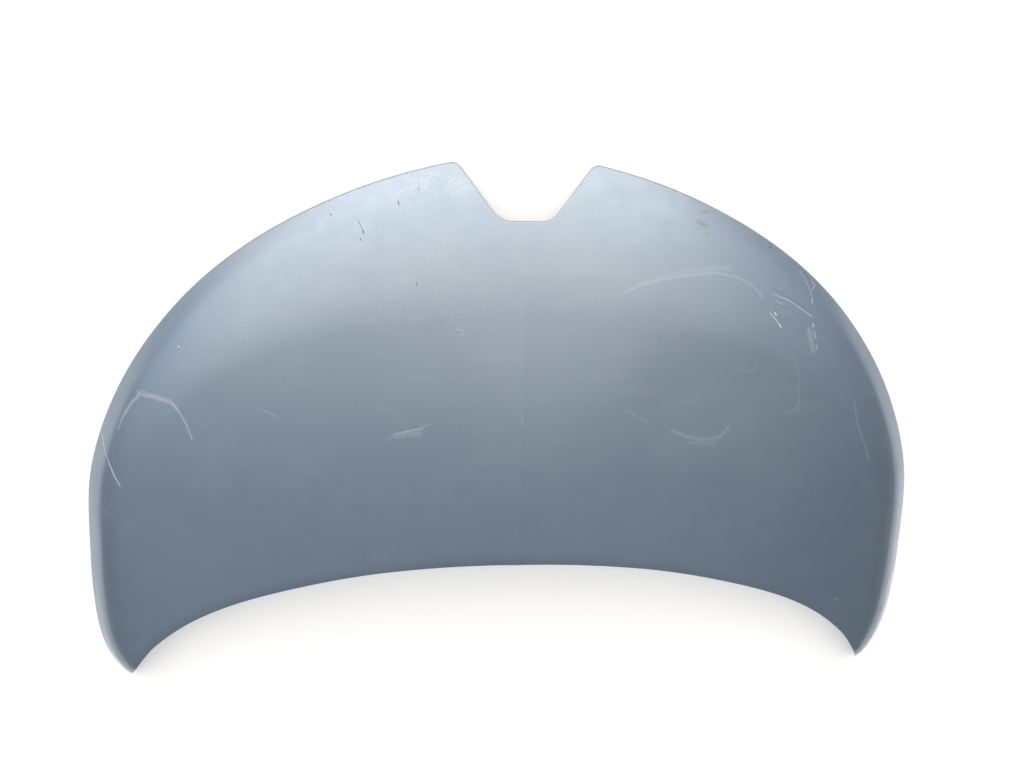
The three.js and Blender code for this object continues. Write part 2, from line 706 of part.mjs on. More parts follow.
const plan = framePlan();
const frameHoles = [
  ...HINGE_PADS.flatMap((pad) => holesAt(pad, HINGE_HOLES, HINGE_HOLE_RADIUS)),
  ...holesAt(LATCH_PAD, STRIKER_HOLES, BOLT_HOLE_RADIUS),
  ...BUFFER_PADS.flatMap((pad) => holesAt(pad, [0], BUFFER_STEM_RADIUS + SEAT_GAP)),
  ...holesAt(SOCKET_PAD, [0], SOCKET_STEM_RADIUS + SEAT_GAP),
];
place('outer_skin', skinGeometry(), PAINT);
place('inner_frame', cut(frameGeometry(plan), frameHoles), FRAME_PAINT);

const hingePlate = [HINGE_PLATE_LENGTH, HINGE_PLATE_WIDTH, REINFORCEMENT_WALL, REINFORCEMENT_LOW];
const latchPlate = (low) => (
  plate(LATCH_PLATE_LENGTH, LATCH_PLATE_WIDTH, REINFORCEMENT_WALL, low, STRIKER_HOLES, BOLT_HOLE_RADIUS));
HINGE_PADS.forEach((pad, k) => {
  const drilled = plate(...hingePlate, HINGE_HOLES, HINGE_HOLE_RADIUS);
  place(`hinge_reinforcement_${['left', 'right'][k]}`, drilled, PLATE_STEEL, pad);
  HINGE_HOLES.forEach((x, j) => {
    place(`hinge_nut_${2 * k + j + 1}`, nut(HINGE_HOLE_RADIUS, NUT_LOW).translate(x, 0, 0), ZINC, pad);
  });
});

place('latch_reinforcement', latchPlate(REINFORCEMENT_LOW), PLATE_STEEL, LATCH_PAD);
place('striker_plate', latchPlate(STRIKER_PLATE_LOW), ZINC, LATCH_PAD);
place('striker_loop', strikerLoop(), ZINC, LATCH_PAD);
STRIKER_HOLES.forEach((x, k) => {
  place(`latch_nut_${k + 1}`, nut(BOLT_HOLE_RADIUS, NUT_LOW).translate(x, 0, 0), ZINC, LATCH_PAD);
  place(`striker_bolt_${k + 1}`, bolt().translate(x, 0, 0), ZINC, LATCH_PAD);
});

BUFFER_PADS.forEach((pad, k) => {
  place(`buffer_${['left', 'right'][k]}`, buffer(), RUBBER, pad);
});
place('prop_socket', propSocket(), PLASTIC, SOCKET_PAD);
plan.dabs.forEach((dab, k) => {
  place(`mastic_dab_${String(k + 1).padStart(2, '0')}`, masticDab(dab), MASTIC);
});

// The origin is under the middle of the bonnet's box, on the surface that it lies on
const bounds = new THREE.Box3().setFromObject(bonnet);
bonnet.position.set(0, -(bounds.min.y + bounds.max.y) / 2, -bounds.min.z);
bonnet.updateMatrixWorld(true);

export default bonnet;
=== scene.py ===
import math

import bmesh
import bpy
import numpy as np
from mathutils import Euler, Matrix, Vector


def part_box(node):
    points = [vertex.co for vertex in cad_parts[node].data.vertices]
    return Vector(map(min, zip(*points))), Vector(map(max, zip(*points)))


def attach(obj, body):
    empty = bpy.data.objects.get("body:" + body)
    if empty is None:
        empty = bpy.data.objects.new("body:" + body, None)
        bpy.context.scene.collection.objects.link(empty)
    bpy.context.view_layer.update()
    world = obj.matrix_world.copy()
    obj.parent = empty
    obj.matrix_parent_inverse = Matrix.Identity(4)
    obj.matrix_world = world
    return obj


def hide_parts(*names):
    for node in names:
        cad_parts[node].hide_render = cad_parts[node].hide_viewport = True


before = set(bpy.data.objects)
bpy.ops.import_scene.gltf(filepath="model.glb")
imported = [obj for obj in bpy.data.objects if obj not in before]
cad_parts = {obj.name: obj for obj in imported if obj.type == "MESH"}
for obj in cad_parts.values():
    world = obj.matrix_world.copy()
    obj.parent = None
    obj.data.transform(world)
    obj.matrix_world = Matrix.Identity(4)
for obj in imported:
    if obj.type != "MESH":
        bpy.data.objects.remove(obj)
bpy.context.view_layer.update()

# A car bonnet that lies crown up, nose towards +Y. Its sizes are in millimetres and are the part's own:
# until a mesh is made, Y is counted from the line through the two rear corners.
MM = 0.001

# Outline in plan
CORNER_HALF_WIDTH = 659
MIDDLE_Y = 300
REAR_SWEEP = 302
OUTLINE = [(-21, 735), (-17, 731), (-10, 710), (-2, 691), (8, 681), (20, 662), (35, 639), (58, 610.5),
           (74, 603.5), (90, 607)]
REAR_EDGE = [(0, 1), (0.3, 0.945), (0.55, 0.797), (0.75, 0.593), (0.9, 0.32), (1, 0)]
NOTCH_MOUTH_HALF = 100
NOTCH_FLOOR_HALF = 37
NOTCH_FLOOR_Y = 820
PEAK_RADIUS = 16
PEAK_MARGIN = 1.6 * PEAK_RADIUS
NOTCH_RADIUS = 34

# Crown and edges
CROWN_HEIGHT = 134
CROWN_Y = 177
CROWN_LONG_RADIUS = 2480
CROWN_CROSS_RADIUS = 2290
SIDE_DROP = 21
SIDE_DROP_WIDTH = 74
NOSE_DROP = 29
NOSE_DROP_WIDTH = 220
CREASE_INSET = 24
CREASE_SLOPE = 0.4
CREASE_SOFTNESS = 7
REAR_DROP = 3
REAR_DROP_WIDTH = 18
RIDGE_HEIGHT = 2
RIDGE_WIDTH = 120
RIDGE_SOFTNESS = 8
CHANNEL_DROP = 9
CHANNEL_HALF_WIDTH = 150
CHANNEL_START_Y = 430
CHANNEL_LENGTH = 450

# Sheet metal and hem
SKIN_WALL = 0.7
FRAME_WALL = 0.7
SEAT_GAP = 0.3
HEM_WIDTH = 12
PACK = 2 * SKIN_WALL + FRAME_WALL + 2 * SEAT_GAP
FOLD_RADIUS = PACK / 2
FOLD_INNER_RADIUS = FOLD_RADIUS - SKIN_WALL

# Inner frame
FRAME_DEPTH = 16
EDGE_RAMP = 31
EDGE_CHANNEL = 72
RAMP_SLOPE = 0.8
TIP_SHARE = 0.3
TIP_FLAT = 4
FLANGE_DEPTH = 5
RIB_HALF_WIDTH = 16
RIB_WALL_WIDTH = 13
FLANGE_WIDTH = 12
PAD_BLEND = 26
HINGE_PAD = (623, 190, 54, 60)
LATCH_PAD = (0, 742, 62, 0)
BUFFER_PAD = (452, 638, 56, 0)
SOCKET_PAD = (-359, 719, 56, 0)
HINGE_BOLT_SPACING = 34
STRIKER_BOLT_SPACING = 54
HINGE_HOLE_RADIUS = 4.5
STRIKER_HOLE_RADIUS = 3.3
BUFFER_HOLE_RADIUS = 4.8
SOCKET_HOLE_RADIUS = 7.3
HOLE_SEGMENTS = 32

# The part's own columns and rows, which the fine meshes divide further
SIDE_COLUMNS = 24
TIP_CROWDING = 1.3
NOSE_CROWDING = 1.35
PEAK_STEPS = 3
NOTCH_STEPS = 3
BLOCK_ROWS = 4
HALF_COLUMNS = SIDE_COLUMNS + PEAK_STEPS + NOTCH_STEPS + 2
COLUMNS = 2 * HALF_COLUMNS
SKIN_FINENESS = 5
SKIN_ROWS = 84
HEM_INSETS = [FOLD_RADIUS, 2.2, 4, 7, HEM_WIDTH]
FOLD_STEPS = 8
FRAME_FINENESS = 4
RAMP_STEPS = 6


def smooth(value):
    t = np.clip(value, 0, 1)
    return t * t * (3 - 2 * t)


def mix(a, b, t):
    return a + (b - a) * t


def through(points, x):
    """A smooth curve through (x, value) points that rise in x."""
    px, py = np.array(points, float).T
    last = len(px) - 1
    slope = [(py[min(j + 1, last)] - py[max(j - 1, 0)]) / (px[min(j + 1, last)] - px[max(j - 1, 0)])
             for j in range(last + 1)]
    slope = np.array(slope)
    k = np.clip(np.searchsorted(px, x) - 1, 0, last - 1)
    span = px[k + 1] - px[k]
    t = np.clip((x - px[k]) / span, 0, 1)
    start = t * (1 - t) ** 2 * span * slope[k]
    end = t * t * (t - 1) * span * slope[k + 1]
    return mix(py[k], py[k + 1], smooth(t)) + start + end


CORNER_ANGLE = math.degrees(math.atan2(-MIDDLE_Y, CORNER_HALF_WIDTH))
RADIUS_BY_ANGLE = [(CORNER_ANGLE, math.hypot(MIDDLE_Y, CORNER_HALF_WIDTH)), *OUTLINE,
                   (180 - OUTLINE[-2][0], OUTLINE[-2][1])]
REAR_BY_X = [(-REAR_EDGE[1][0] * CORNER_HALF_WIDTH, REAR_EDGE[1][1] * REAR_SWEEP),
             *[(x * CORNER_HALF_WIDTH, y * REAR_SWEEP) for x, y in REAR_EDGE]]


def outline_radius(angle):
    return through(RADIUS_BY_ANGLE, angle)


def rear_y(x):
    return through(REAR_BY_X, np.minimum(np.abs(x), CORNER_HALF_WIDTH))


def outline_point(angle):
    radius = float(outline_radius(angle))
    turn = math.radians(angle)
    return np.array([radius * math.cos(turn), MIDDLE_Y + radius * math.sin(turn)])


SLOPE_STEP = 4
PAD_SLOPE_STEP = 5


def crown(x, y):
    """Height of the skin's outer face over the plan."""
    angle = np.arctan2(y - MIDDLE_Y, np.abs(x))
    to_edge = np.maximum(outline_radius(np.degrees(angle)) - np.hypot(x, y - MIDDLE_Y), 0)
    nose_share = np.maximum(np.sin(angle), 0) ** 2
    drop = mix(SIDE_DROP, NOSE_DROP, nose_share)
    drop_width = mix(SIDE_DROP_WIDTH, NOSE_DROP_WIDTH, nose_share)
    edge = np.clip(1 - to_edge / drop_width, 0, 1)
    past = CREASE_INSET - to_edge
    crease = (past + np.hypot(past, CREASE_SOFTNESS)) / 2
    ahead, behind = rear_y(np.abs(x) + SLOPE_STEP), rear_y(np.abs(x) - SLOPE_STEP)
    rear_slope = (ahead - behind) / (2 * SLOPE_STEP)
    to_rear = np.maximum(y - rear_y(x), 0) / np.hypot(1, rear_slope)
    rear = np.clip(1 - to_rear / REAR_DROP_WIDTH, 0, 1)
    ridge = 1 - np.exp(-(np.hypot(x, RIDGE_SOFTNESS) - RIDGE_SOFTNESS) / RIDGE_WIDTH)
    channel = np.exp(-((x / CHANNEL_HALF_WIDTH) ** 2)) * smooth((y - CHANNEL_START_Y) / CHANNEL_LENGTH)
    return (CROWN_HEIGHT
            - (y - CROWN_Y) ** 2 / (2 * CROWN_LONG_RADIUS)
            - x ** 2 / (2 * CROWN_CROSS_RADIUS)
            - drop * edge ** 2
            - CREASE_SLOPE * (1 - nose_share) * crease
            - REAR_DROP * rear ** 2
            - RIDGE_HEIGHT * ridge
            - CHANNEL_DROP * channel)


def crown_at(x, y):
    """The crown's height at one place."""
    return float(crown(np.array([x]), np.array([y]))[0])


def unit(vectors):
    return vectors / np.linalg.norm(vectors, axis=-1, keepdims=True)


def corner_arc(a, b, c, radius, shares):
    """Points of the arc that rounds the corner b between a and c, at shares of its turn."""
    u, v = unit(a - b), unit(c - b)
    half = math.acos(np.clip(u @ v, -1, 1)) / 2
    centre = unit(u + v) * radius / math.sin(half)
    start = u * radius / math.tan(half) - centre
    turn = np.sign(start[0] * v[1] - start[1] * v[0]) * (math.pi - 2 * half)
    points = []
    for share in shares:
        c_, s_ = math.cos(turn * share), math.sin(turn * share)
        points.append(b + centre + np.array([start[0] * c_ - start[1] * s_, start[0] * s_ + start[1] * c_]))
    return points


PEAK_SEARCH_START = 80.0
PEAK_SEARCH_STEPS = 30


def find_peak():
    """The angle at which the outline reaches the notch's mouth, and that point."""
    angle = PEAK_SEARCH_START
    for _ in range(PEAK_SEARCH_STEPS):
        angle += math.degrees((outline_point(angle)[0] - NOTCH_MOUTH_HALF) / float(outline_radius(angle)))
    return angle, outline_point(angle)


PEAK_ANGLE, PEAK = find_peak()
LAST_ANGLE = PEAK_ANGLE - math.degrees(PEAK_MARGIN / float(outline_radius(PEAK_ANGLE)))
NOTCH_CORNER = np.array([NOTCH_FLOOR_HALF, NOTCH_FLOOR_Y])
NOTCH_MIDDLE = np.array([0, NOTCH_FLOOR_Y])


def front_point(station):
    """Point of the right half's front border. Whole stations are the part's own columns."""
    side_end = SIDE_COLUMNS - 1
    side = outline_point(mix(CORNER_ANGLE, LAST_ANGLE, (min(station, side_end) / side_end) ** TIP_CROWDING))
    if station <= side_end:
        return side
    peak_share = (station - SIDE_COLUMNS) / PEAK_STEPS
    notch_share = (station - SIDE_COLUMNS - PEAK_STEPS - 1) / NOTCH_STEPS
    shares = [0, min(max(peak_share, 0), 1), min(max(notch_share, 0), 1)]
    peak_start, on_peak, peak_end = corner_arc(side, PEAK, NOTCH_CORNER, PEAK_RADIUS, [0, shares[1], 1])
    notch_start, on_notch, notch_end = corner_arc(PEAK, NOTCH_CORNER, NOTCH_MIDDLE, NOTCH_RADIUS,
                                                  [0, shares[2], 1])
    if peak_share < 0:
        return mix(side, peak_start, station - side_end)
    if peak_share <= 1:
        return on_peak
    if notch_share < 0:
        return mix(peak_end, notch_start, station - SIDE_COLUMNS - PEAK_STEPS)
    if notch_share <= 1:
        return on_notch
    return mix(notch_end, NOTCH_MIDDLE, station - HALF_COLUMNS + 1)


def make_border(fineness):
    """The closed border: the front from the right rear corner to the left, then back along the rear."""
    half = [front_point(k / fineness) for k in range(HALF_COLUMNS * fineness + 1)]
    front = np.array(half + [p * (-1, 1) for p in half[-2::-1]])
    angle = np.degrees(np.arctan2(front[:, 1] - MIDDLE_Y, np.abs(front[:, 0])))
    rear_x = np.sign(front[:, 0]) * CORNER_HALF_WIDTH * (1 - (angle - CORNER_ANGLE) / (90 - CORNER_ANGLE))
    rear = np.stack([rear_x, rear_y(rear_x)], axis=1)
    return np.concatenate([front, rear[-2:0:-1]])


def rear_points(columns, count):
    """For each column, the number of its rear point in a border of count points."""
    return [0] + [count - i for i in range(1, columns - 1)] + [columns - 1]


MITRE_LIMIT = 0.5
INSET_STEPS = 4


def inset(loop, distance):
    """The closed loop moved inwards by a distance, square to its sides."""
    before, after = np.roll(loop, 1, axis=0), np.roll(loop, -1, axis=0)
    a = unit(np.stack([before[:, 1] - loop[:, 1], loop[:, 0] - before[:, 0]], axis=1))
    b = unit(np.stack([loop[:, 1] - after[:, 1], after[:, 0] - loop[:, 0]], axis=1))
    normal = unit(a + b)
    length = distance / np.maximum((normal * a).sum(axis=1), MITRE_LIMIT)
    return loop + normal * length[:, None]


def soft_inset(loop, distance, fineness):
    """The closed loop moved inwards in small steps, with its corners rounded on the way."""
    for _ in range(INSET_STEPS):
        loop = inset(loop, distance / INSET_STEPS)
        for _ in range(fineness ** 2):
            loop = loop / 2 + (np.roll(loop, 1, axis=0) + np.roll(loop, -1, axis=0)) / 4
    return loop


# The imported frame's own origin, in the sizes' millimetres
SHIFT_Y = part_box("outer_skin")[0].y / MM


def rest_height():
    """How far the drawing's zero lies above the surface that the bonnet rests on."""
    border = make_border(SKIN_FINENESS)
    return -float((crown(border[:, 0], border[:, 1]) - FOLD_RADIUS).min())


SHIFT_Z = rest_height()

# The meshes are drawn a hair inside the solids and above the floor
FIT_SCALE = 0.9993
FLOOR_CLEARANCE = 0.1
MERGE_DISTANCE = 0.01
SHARP_ANGLE = 40


def to_frame(points):
    """Drawing points in millimetres to the frame's metres, a hair inside the solids and above the floor."""
    placed = (np.asarray(points, float) + (0, SHIFT_Y, SHIFT_Z)) * FIT_SCALE
    placed[:, 2] = np.maximum(placed[:, 2], FLOOR_CLEARANCE)
    return placed * MM


def make_object(name, points, faces):
    """A mesh object from drawing points, with doubled points merged."""
    mesh = bpy.data.meshes.new(name)
    mesh.from_pydata(to_frame(points).tolist(), [], faces)
    made = bmesh.new()
    made.from_mesh(mesh)
    bmesh.ops.remove_doubles(made, verts=made.verts, dist=MERGE_DISTANCE * MM)
    made.to_mesh(mesh)
    made.free()
    obj = bpy.data.objects.new(name, mesh)
    bpy.context.scene.collection.objects.link(obj)
    return obj


def shade(obj):
    """Smooth shading, with edges sharper than SHARP_ANGLE left sharp."""
    obj.data.shade_smooth()
    obj.data.set_sharp_from_angle(angle=math.radians(SHARP_ANGLE))


def apply_modifiers(obj):
    graph = bpy.context.evaluated_depsgraph_get()
    obj.data = bpy.data.meshes.new_from_object(obj.evaluated_get(graph))
    obj.modifiers.clear()


def grid_faces(columns, rows, first, flip=False):
    """Quads of a grid whose points are numbered column by column from first."""
    faces = []
    for i in range(columns - 1):
        for j in range(rows - 1):
            a = first + i * rows + j
            quad = (a, a + rows, a + rows + 1, a + 1)
            faces.append(quad[::-1] if flip else quad)
    return faces


def ring_faces(rings):
    """Quads between closed rings of point numbers, each ring inside or under the one before it."""
    faces = []
    for outer, inner in zip(rings, rings[1:]):
        for k in range(len(outer)):
            after = (k + 1) % len(outer)
            faces.append((outer[k], outer[after], inner[after], inner[k]))
    return faces


# Shallow dents in the skin: middle, half sizes and depth in the panel's plan
DENTS = [
    {"at": (262, 560), "half": (150, 120), "depth": 1.8},
    {"at": (262, 545), "half": (70, 62), "depth": -0.7},
]

# The fine line pressed along the middle of the panel
LINE_HEIGHT = 0.4
LINE_HALF_WIDTH = 9
LINE_FRONT_Y = 800
LINE_FADE = 80


def dent(x, y):
    """How far the skin's pressed line and its dents lie below the crown."""
    line = (1 - smooth(np.abs(x) / LINE_HALF_WIDTH)) * smooth((LINE_FRONT_Y - y) / LINE_FADE)
    depth = -LINE_HEIGHT * line
    for each in DENTS:
        along = (x - each["at"][0]) / each["half"][0]
        across = (y - each["at"][1]) / each["half"][1]
        depth += each["depth"] * smooth(1 - np.hypot(along, across))
    return depth


def make_skin():
    """The outer skin: two parallel sheets over one grid, joined round the border by the hem's fold."""
    border = make_border(SKIN_FINENESS)
    columns = COLUMNS * SKIN_FINENESS + 1
    rear_index = rear_points(columns, len(border))
    edges = [inset(border, distance) for distance in HEM_INSETS]
    front = [edge[:columns] for edge in edges]
    rear = [edge[rear_index] for edge in edges]
    share = (np.arange(1, SKIN_ROWS) / SKIN_ROWS) ** NOSE_CROWDING
    rows = [*front, *[mix(front[-1], rear[-1], t) for t in share], *rear[::-1]]
    plan = np.stack(rows, axis=1)
    x, y = plan[..., 0].ravel(), plan[..., 1].ravel()
    outer = crown(x, y) - dent(x, y)
    points = [np.stack([x, y, outer], axis=1), np.stack([x, y, outer - SKIN_WALL], axis=1)]
    faces = grid_faces(columns, len(rows), 0)
    faces += grid_faces(columns, len(rows), len(x), flip=True)
    turns = np.linspace(0, math.pi, FOLD_STEPS + 1)
    section = [(FOLD_RADIUS * (1 - math.sin(a)), FOLD_RADIUS * (1 - math.cos(a))) for a in turns]
    section += [(HEM_WIDTH, PACK), (HEM_WIDTH, PACK - SKIN_WALL)]
    section += [(FOLD_RADIUS - FOLD_INNER_RADIUS * math.sin(a), FOLD_RADIUS - FOLD_INNER_RADIUS * math.cos(a))
                for a in turns[::-1]]
    rings = (2 * len(x) + np.arange(len(section) * len(border))).reshape(len(section), len(border))
    faces += ring_faces(rings[:, ::-1].tolist())
    for distance, depth in section:
        ring = inset(border, distance)
        height = crown(ring[:, 0], ring[:, 1]) - dent(ring[:, 0], ring[:, 1]) - depth
        points.append(np.column_stack([ring, height]))
    obj = make_object("skin", np.concatenate(points), faces)
    shade(obj)
    return obj


def make_pad(x, y, radius, turn):
    """A flat pad in the frame: its height function, and the matrix that stands on its middle."""
    step = PAD_SLOPE_STEP
    slope_x = (crown_at(x + step, y) - crown_at(x - step, y)) / (2 * step)
    slope_y = (crown_at(x, y + step) - crown_at(x, y - step)) / (2 * step)
    z = crown_at(x, y) - FRAME_DEPTH
    normal = Vector((-slope_x, -slope_y, 1)).normalized()
    across = Vector((1, 0, slope_x)).normalized()
    axes = Matrix((across, normal.cross(across), normal)).transposed()
    matrix = Matrix.Translation((x, y, z)) @ axes.to_4x4() @ Matrix.Rotation(math.radians(turn), 4, "Z")
    return {"at": (x, y), "radius": radius, "plane": (z, slope_x, slope_y), "matrix": matrix}


def mirrored(pad):
    x, y, radius, turn = pad
    return (-x, y, radius, -turn)


HINGE_PADS = [make_pad(*mirrored(HINGE_PAD)), make_pad(*HINGE_PAD)]
LATCH = make_pad(*LATCH_PAD)
BUFFER_PADS = [make_pad(*mirrored(BUFFER_PAD)), make_pad(*BUFFER_PAD)]
SOCKET = make_pad(*SOCKET_PAD)
PADS = [LATCH, *HINGE_PADS, *BUFFER_PADS, SOCKET]


def frame_height(x, y, depth):
    """Height of the frame's upper face: the crown less a depth, with its floor pressed into the pads."""
    z = crown(x, y) - depth
    pressed = smooth((depth - FLANGE_DEPTH) / (FRAME_DEPTH - FLANGE_DEPTH))
    for pad in PADS:
        away = np.hypot(x - pad["at"][0], y - pad["at"][1]) - pad["radius"]
        base, slope_x, slope_y = pad["plane"]
        flat = base + slope_x * (x - pad["at"][0]) + slope_y * (y - pad["at"][1])
        z = mix(z, flat, pressed * (1 - smooth(away / PAD_BLEND)))
    return z


# Window blocks of the frame, as the part's own column and row ranges
HALF_BLOCKS = [
    ((19, SIDE_COLUMNS), (0, 1)),
    ((19, SIDE_COLUMNS), (1, 2)),
    ((14, 19), (0, 1)),
    ((14, 19), (1, 2)),
    ((10, 14), (0, 2)),
]
WINDOWS = [
    *HALF_BLOCKS,
    *[((COLUMNS - end, COLUMNS - start), rows) for (start, end), rows in HALF_BLOCKS],
    ((SIDE_COLUMNS, COLUMNS - SIDE_COLUMNS), (1, 2)),
]


def frame_rows(border, columns):
    """The frame's rows from front to rear, each as its points in plan and their depths."""
    rear_index = rear_points(columns, len(border))
    seat_depth = SKIN_WALL + SEAT_GAP
    edge = inset(border, SKIN_WALL + FRAME_WALL / 2 + SEAT_GAP)
    seat = inset(border, HEM_WIDTH)
    front, rear = seat[:columns], seat[rear_index]
    length = np.maximum(np.linalg.norm(rear - front, axis=1), 0.1)
    ramp = np.minimum(EDGE_RAMP, TIP_SHARE / 2 * length)
    channel = np.minimum(EDGE_CHANNEL, TIP_SHARE * length)
    floor = np.minimum(FRAME_DEPTH, seat_depth + RAMP_SLOPE * np.maximum(ramp - TIP_FLAT, 0))
    flat = np.full(columns, seat_depth)

    def across(distance):
        return mix(front, rear, (distance / length)[:, None])

    shares = np.arange(1, RAMP_STEPS + 1) / RAMP_STEPS
    down = [(across(ramp * s), mix(seat_depth, floor, smooth(s))) for s in shares]
    core_rows = 2 * BLOCK_ROWS * FRAME_FINENESS
    core = [(across(mix(channel, length - channel, j / core_rows)), floor) for j in range(core_rows + 1)]
    up = [(across(length - ramp * s), mix(seat_depth, floor, smooth(s))) for s in shares[::-1]]
    return [(edge[:columns], flat), (front, flat), *down, *core, *up, (rear, flat), (edge[rear_index], flat)]


def make_frame():
    """The inner frame: one pressed sheet with its windows, pads and holes."""
    border = make_border(FRAME_FINENESS)
    columns = COLUMNS * FRAME_FINENESS + 1
    rows = frame_rows(border, columns)
    plan = np.stack([points for points, _ in rows], axis=1).reshape(-1, 2)
    depth = np.stack([depths for _, depths in rows], axis=1).ravel()
    ids = np.arange(len(plan)).reshape(columns, len(rows))
    first_core = 2 + RAMP_STEPS
    solid = np.ones((columns - 1, len(rows) - 1), bool)
    plans, depths, rings = [plan], [depth], []
    count = len(plan)
    for column_range, row_range in WINDOWS:
        i0, i1 = (i * FRAME_FINENESS for i in column_range)
        j0, j1 = (first_core + j * BLOCK_ROWS * FRAME_FINENESS for j in row_range)
        solid[i0:i1, j0:j1] = False
        loop = [*ids[i0:i1, j0], *ids[i1, j0:j1], *ids[i1:i0:-1, j1], *ids[i0, j1:j0:-1]]
        foot = soft_inset(plan[loop], RIB_HALF_WIDTH, FRAME_FINENESS)
        shoulder = soft_inset(foot, RIB_WALL_WIDTH, FRAME_FINENESS)
        rim = soft_inset(shoulder, FLANGE_WIDTH, FRAME_FINENESS)
        shares = np.arange(RAMP_STEPS + 1) / RAMP_STEPS
        wall = [(mix(foot, shoulder, s), mix(FRAME_DEPTH, FLANGE_DEPTH, smooth(s))) for s in shares]
        numbers = [loop]
        for points, level in [*wall, (rim, FLANGE_DEPTH)]:
            plans.append(points)
            depths.append(np.full(len(points), level, float))
            numbers.append(list(range(count, count + len(points))))
            count += len(points)
        rings.append(numbers)
    plan, depth = np.concatenate(plans), np.concatenate(depths)
    faces = [(ids[i, j], ids[i + 1, j], ids[i + 1, j + 1], ids[i, j + 1]) for i, j in np.argwhere(solid)]
    faces = [tuple(int(k) for k in face) for face in faces]
    for numbers in rings:
        faces += [tuple(int(k) for k in face) for face in ring_faces(numbers)]
    height = frame_height(plan[:, 0], plan[:, 1], depth)
    obj = make_object("frame_sheet", np.column_stack([plan, height]), faces)
    thicken = obj.modifiers.new("thicken", "SOLIDIFY")
    thicken.thickness = FRAME_WALL * MM
    thicken.offset = -1
    apply_modifiers(obj)
    cutter = make_cutter()
    holes = obj.modifiers.new("holes", "BOOLEAN")
    holes.object = cutter
    holes.solver = "EXACT"
    apply_modifiers(obj)
    bpy.data.objects.remove(cutter)
    shade(obj)
    return obj


def make_cutter():
    """Round bars where the frame has its holes."""
    half = HINGE_BOLT_SPACING / 2
    places = [(pad, x, HINGE_HOLE_RADIUS) for pad in HINGE_PADS for x in (-half, half)]
    half = STRIKER_BOLT_SPACING / 2
    places += [(LATCH, x, STRIKER_HOLE_RADIUS) for x in (-half, half)]
    places += [(pad, 0, BUFFER_HOLE_RADIUS) for pad in BUFFER_PADS]
    places += [(SOCKET, 0, SOCKET_HOLE_RADIUS)]
    made = bmesh.new()
    for pad, x, radius in places:
        matrix = Matrix.Scale(MM, 4) @ Matrix.Translation((0, SHIFT_Y, SHIFT_Z)) @ pad["matrix"]
        bmesh.ops.create_cone(made, cap_ends=True, segments=HOLE_SEGMENTS, radius1=radius, radius2=radius,
                              depth=FRAME_DEPTH, matrix=matrix @ Matrix.Translation((x, 0, 0)))
    mesh = bpy.data.meshes.new("holes")
    made.to_mesh(mesh)
    made.free()
    cutter = bpy.data.objects.new("holes", mesh)
    bpy.context.scene.collection.objects.link(cutter)
    cutter.hide_render = True
    return cutter


# Camera, fitted to the picture's outline
PHOTO_SIZE = (1020, 765)
FOCAL_PIXELS = 900
SENSOR_WIDTH = 36
CAMERA_PLACE = Vector((-0.1330, 0.6603, 1.3067))
CAMERA_TURN = Euler((-0.4031, -0.0781, 0.0362))
PANEL_SEARCH_STEPS = 12
PANEL_SEARCH_SHARE = 0.9


def add_camera():
    data = bpy.data.cameras.new("camera")
    data.sensor_width = SENSOR_WIDTH
    data.lens = FOCAL_PIXELS / PHOTO_SIZE[0] * SENSOR_WIDTH
    camera = bpy.data.objects.new("camera", data)
    camera.location = CAMERA_PLACE
    camera.rotation_euler = CAMERA_TURN
    bpy.context.scene.collection.objects.link(camera)
    bpy.context.scene.camera = camera


def on_panel(pixel):
    """The point of the crown, in the frame's metres, that shows at a pixel of the picture."""
    x, y = pixel
    towards = Vector(((x - PHOTO_SIZE[0] / 2) / FOCAL_PIXELS, (PHOTO_SIZE[1] / 2 - y) / FOCAL_PIXELS, -1))
    towards.rotate(CAMERA_TURN)
    point = CAMERA_PLACE.copy()
    for _ in range(PANEL_SEARCH_STEPS):
        height = (crown_at(point.x / MM, point.y / MM - SHIFT_Y) + SHIFT_Z) * MM
        point += towards * (PANEL_SEARCH_SHARE * (point.z - height) / -towards.z)
    return point


